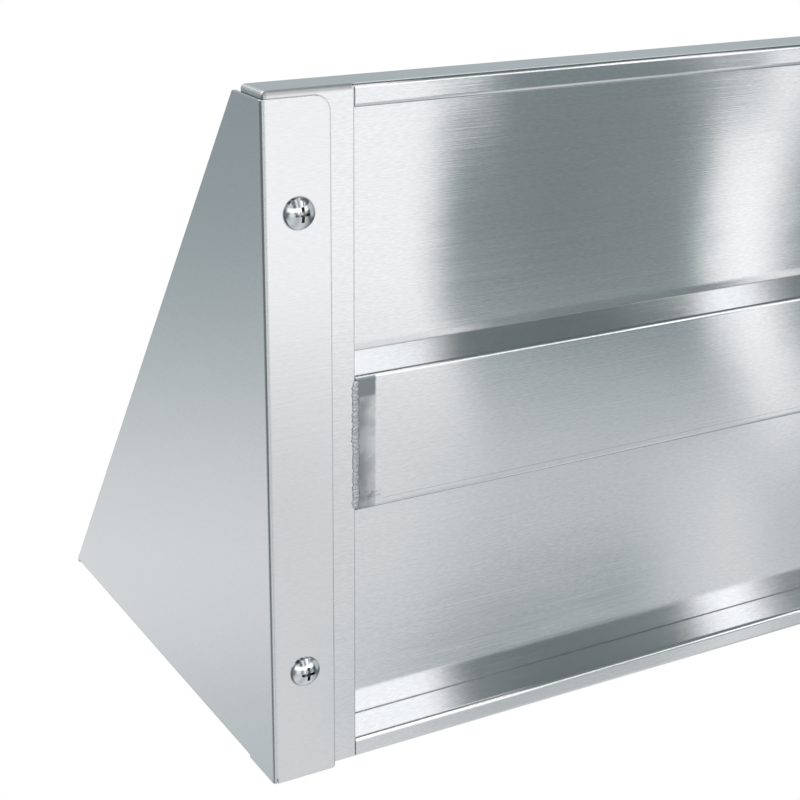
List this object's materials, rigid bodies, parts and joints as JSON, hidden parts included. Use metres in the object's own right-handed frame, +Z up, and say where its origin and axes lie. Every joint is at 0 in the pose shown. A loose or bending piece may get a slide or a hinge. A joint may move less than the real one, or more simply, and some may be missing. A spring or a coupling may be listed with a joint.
{
  "type": "wall shelf",
  "caption": "Stainless wall shelf: a folded pan with box-folded rims and a central underside stiffener, carried between solid triangular end cheeks by screws through inward ledge flanges.",
  "frame": {"origin": "centre of the four wall holes, on the wall plane (the rear faces of the cheeks' wall flanges), at mid length", "axes": "+X along the shelf, -Y out from the wall towards the front edge, +Z up in use, so the smooth deck faces +Z and the stiffener faces -Z"},
  "size_m": [1, 0.301, 0.2581],
  "materials": {
    "brushed_sheet": "fine lengthwise brushed grain, satin",
    "weld_metal": "rough weld bead, partly ground",
    "bright_fastener": "bright, smooth turned and pressed steel"
  },
  "bodies": {
    "root": {"shelf_pan": "brushed_sheet", "stiffener_channel": "brushed_sheet", "left_cheek": "brushed_sheet", "right_cheek": "brushed_sheet", "left_stiffener_weld": "weld_metal", "right_stiffener_weld": "weld_metal", "front_left_screw": "bright_fastener", "front_left_washer": "bright_fastener", "front_left_nut": "bright_fastener", "front_left_corner_weld": "weld_metal", "front_right_screw": "bright_fastener", "front_right_washer": "bright_fastener", "front_right_nut": "bright_fastener", "front_right_corner_weld": "weld_metal", "rear_left_screw": "bright_fastener", "rear_left_washer": "bright_fastener", "rear_left_nut": "bright_fastener", "rear_left_corner_weld": "weld_metal", "rear_right_screw": "bright_fastener", "rear_right_washer": "bright_fastener", "rear_right_nut": "bright_fastener", "rear_right_corner_weld": "weld_metal"}
  },
  "joints": []
}
